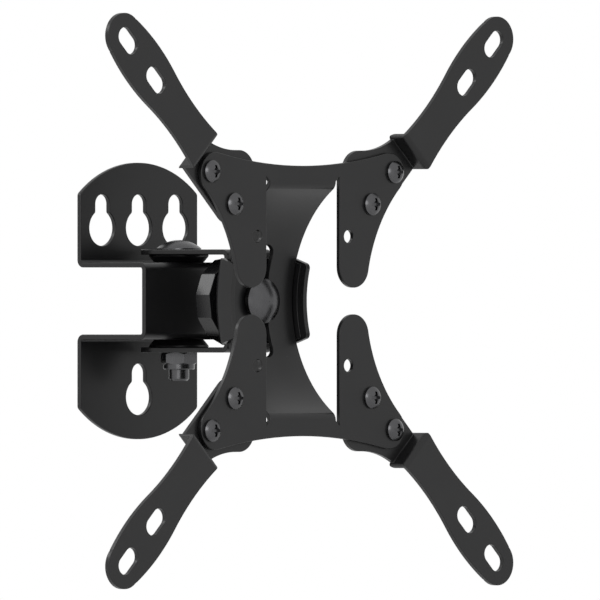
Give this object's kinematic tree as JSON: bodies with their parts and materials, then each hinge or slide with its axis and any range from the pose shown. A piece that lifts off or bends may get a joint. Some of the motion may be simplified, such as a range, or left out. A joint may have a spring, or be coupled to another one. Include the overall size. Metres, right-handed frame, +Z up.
{
  "type": "full motion tv wall mount",
  "caption": "Swivelling, tilting and rolling steel wall mount for a small flat screen, with a finger plate, diagonal extension arms, a keyhole wall bracket and a clamp knob.",
  "frame": {"origin": "on the wall plane, level with the middle of the finger plate and of the wall bracket's channel", "axes": "+X to the right as seen from the front, +Z up, the screen side faces -Y and the wall lies at y = 0"},
  "size_m": [0.2214, 0.0973, 0.2214],
  "materials": {
    "black_steel": "satin powder coat",
    "black_plastic": "fine grain",
    "dark_zinc": "black zinc plate, semi-gloss",
    "brass_insert": "turned"
  },
  "bodies": {
    "wall": {"wall_bracket": "black_steel", "pivot_washer_upper": "black_plastic", "pivot_washer_lower": "black_plastic", "pivot_spacer": "dark_zinc"},
    "swivel": {"swivel_clevis": "black_steel", "pivot_bolt": "dark_zinc", "pivot_nut": "dark_zinc", "flat_washer": "dark_zinc", "spring_washer": "dark_zinc"},
    "saddle": {"saddle_bracket": "black_steel", "friction_pad": "black_plastic", "center_bolt": "dark_zinc"},
    "head": {"finger_plate": "black_steel", "arm_upper_right": "black_steel", "arm_upper_left": "black_steel", "arm_lower_right": "black_steel", "arm_lower_left": "black_steel", "screw_upper_right_inner": "dark_zinc", "screw_upper_right_outer": "dark_zinc", "screw_upper_left_inner": "dark_zinc", "screw_upper_left_outer": "dark_zinc", "screw_lower_right_inner": "dark_zinc", "screw_lower_right_outer": "dark_zinc", "screw_lower_left_inner": "dark_zinc", "screw_lower_left_outer": "dark_zinc", "nut_upper_right_inner": "dark_zinc", "nut_upper_right_outer": "dark_zinc", "nut_upper_left_inner": "dark_zinc", "nut_upper_left_outer": "dark_zinc", "nut_lower_right_inner": "dark_zinc", "nut_lower_right_outer": "dark_zinc", "nut_lower_left_inner": "dark_zinc", "nut_lower_left_outer": "dark_zinc"},
    "knob": {"knob": "black_plastic", "knob_insert": "brass_insert"}
  },
  "joints": [
    {"name": "swivel", "type": "hinge", "parent": "wall", "child": "swivel", "pos_m": [0, -0.0239, 0], "axis": [0, 0, 1], "range_deg": [-28, 28]},
    {"name": "roll", "type": "hinge", "parent": "swivel", "child": "saddle", "pos_m": [0, -0.06, 0], "axis": [0, -1, 0], "continuous": true},
    {"name": "tilt", "type": "hinge", "parent": "saddle", "child": "head", "pos_m": [0, -0.1207, 0], "axis": [1, 0, 0], "range_deg": [-18, 18]},
    {"name": "knob_turn", "type": "hinge", "parent": "saddle", "child": "knob", "pos_m": [0, -0.055, 0], "axis": [0, -1, 0], "continuous": true}
  ]
}
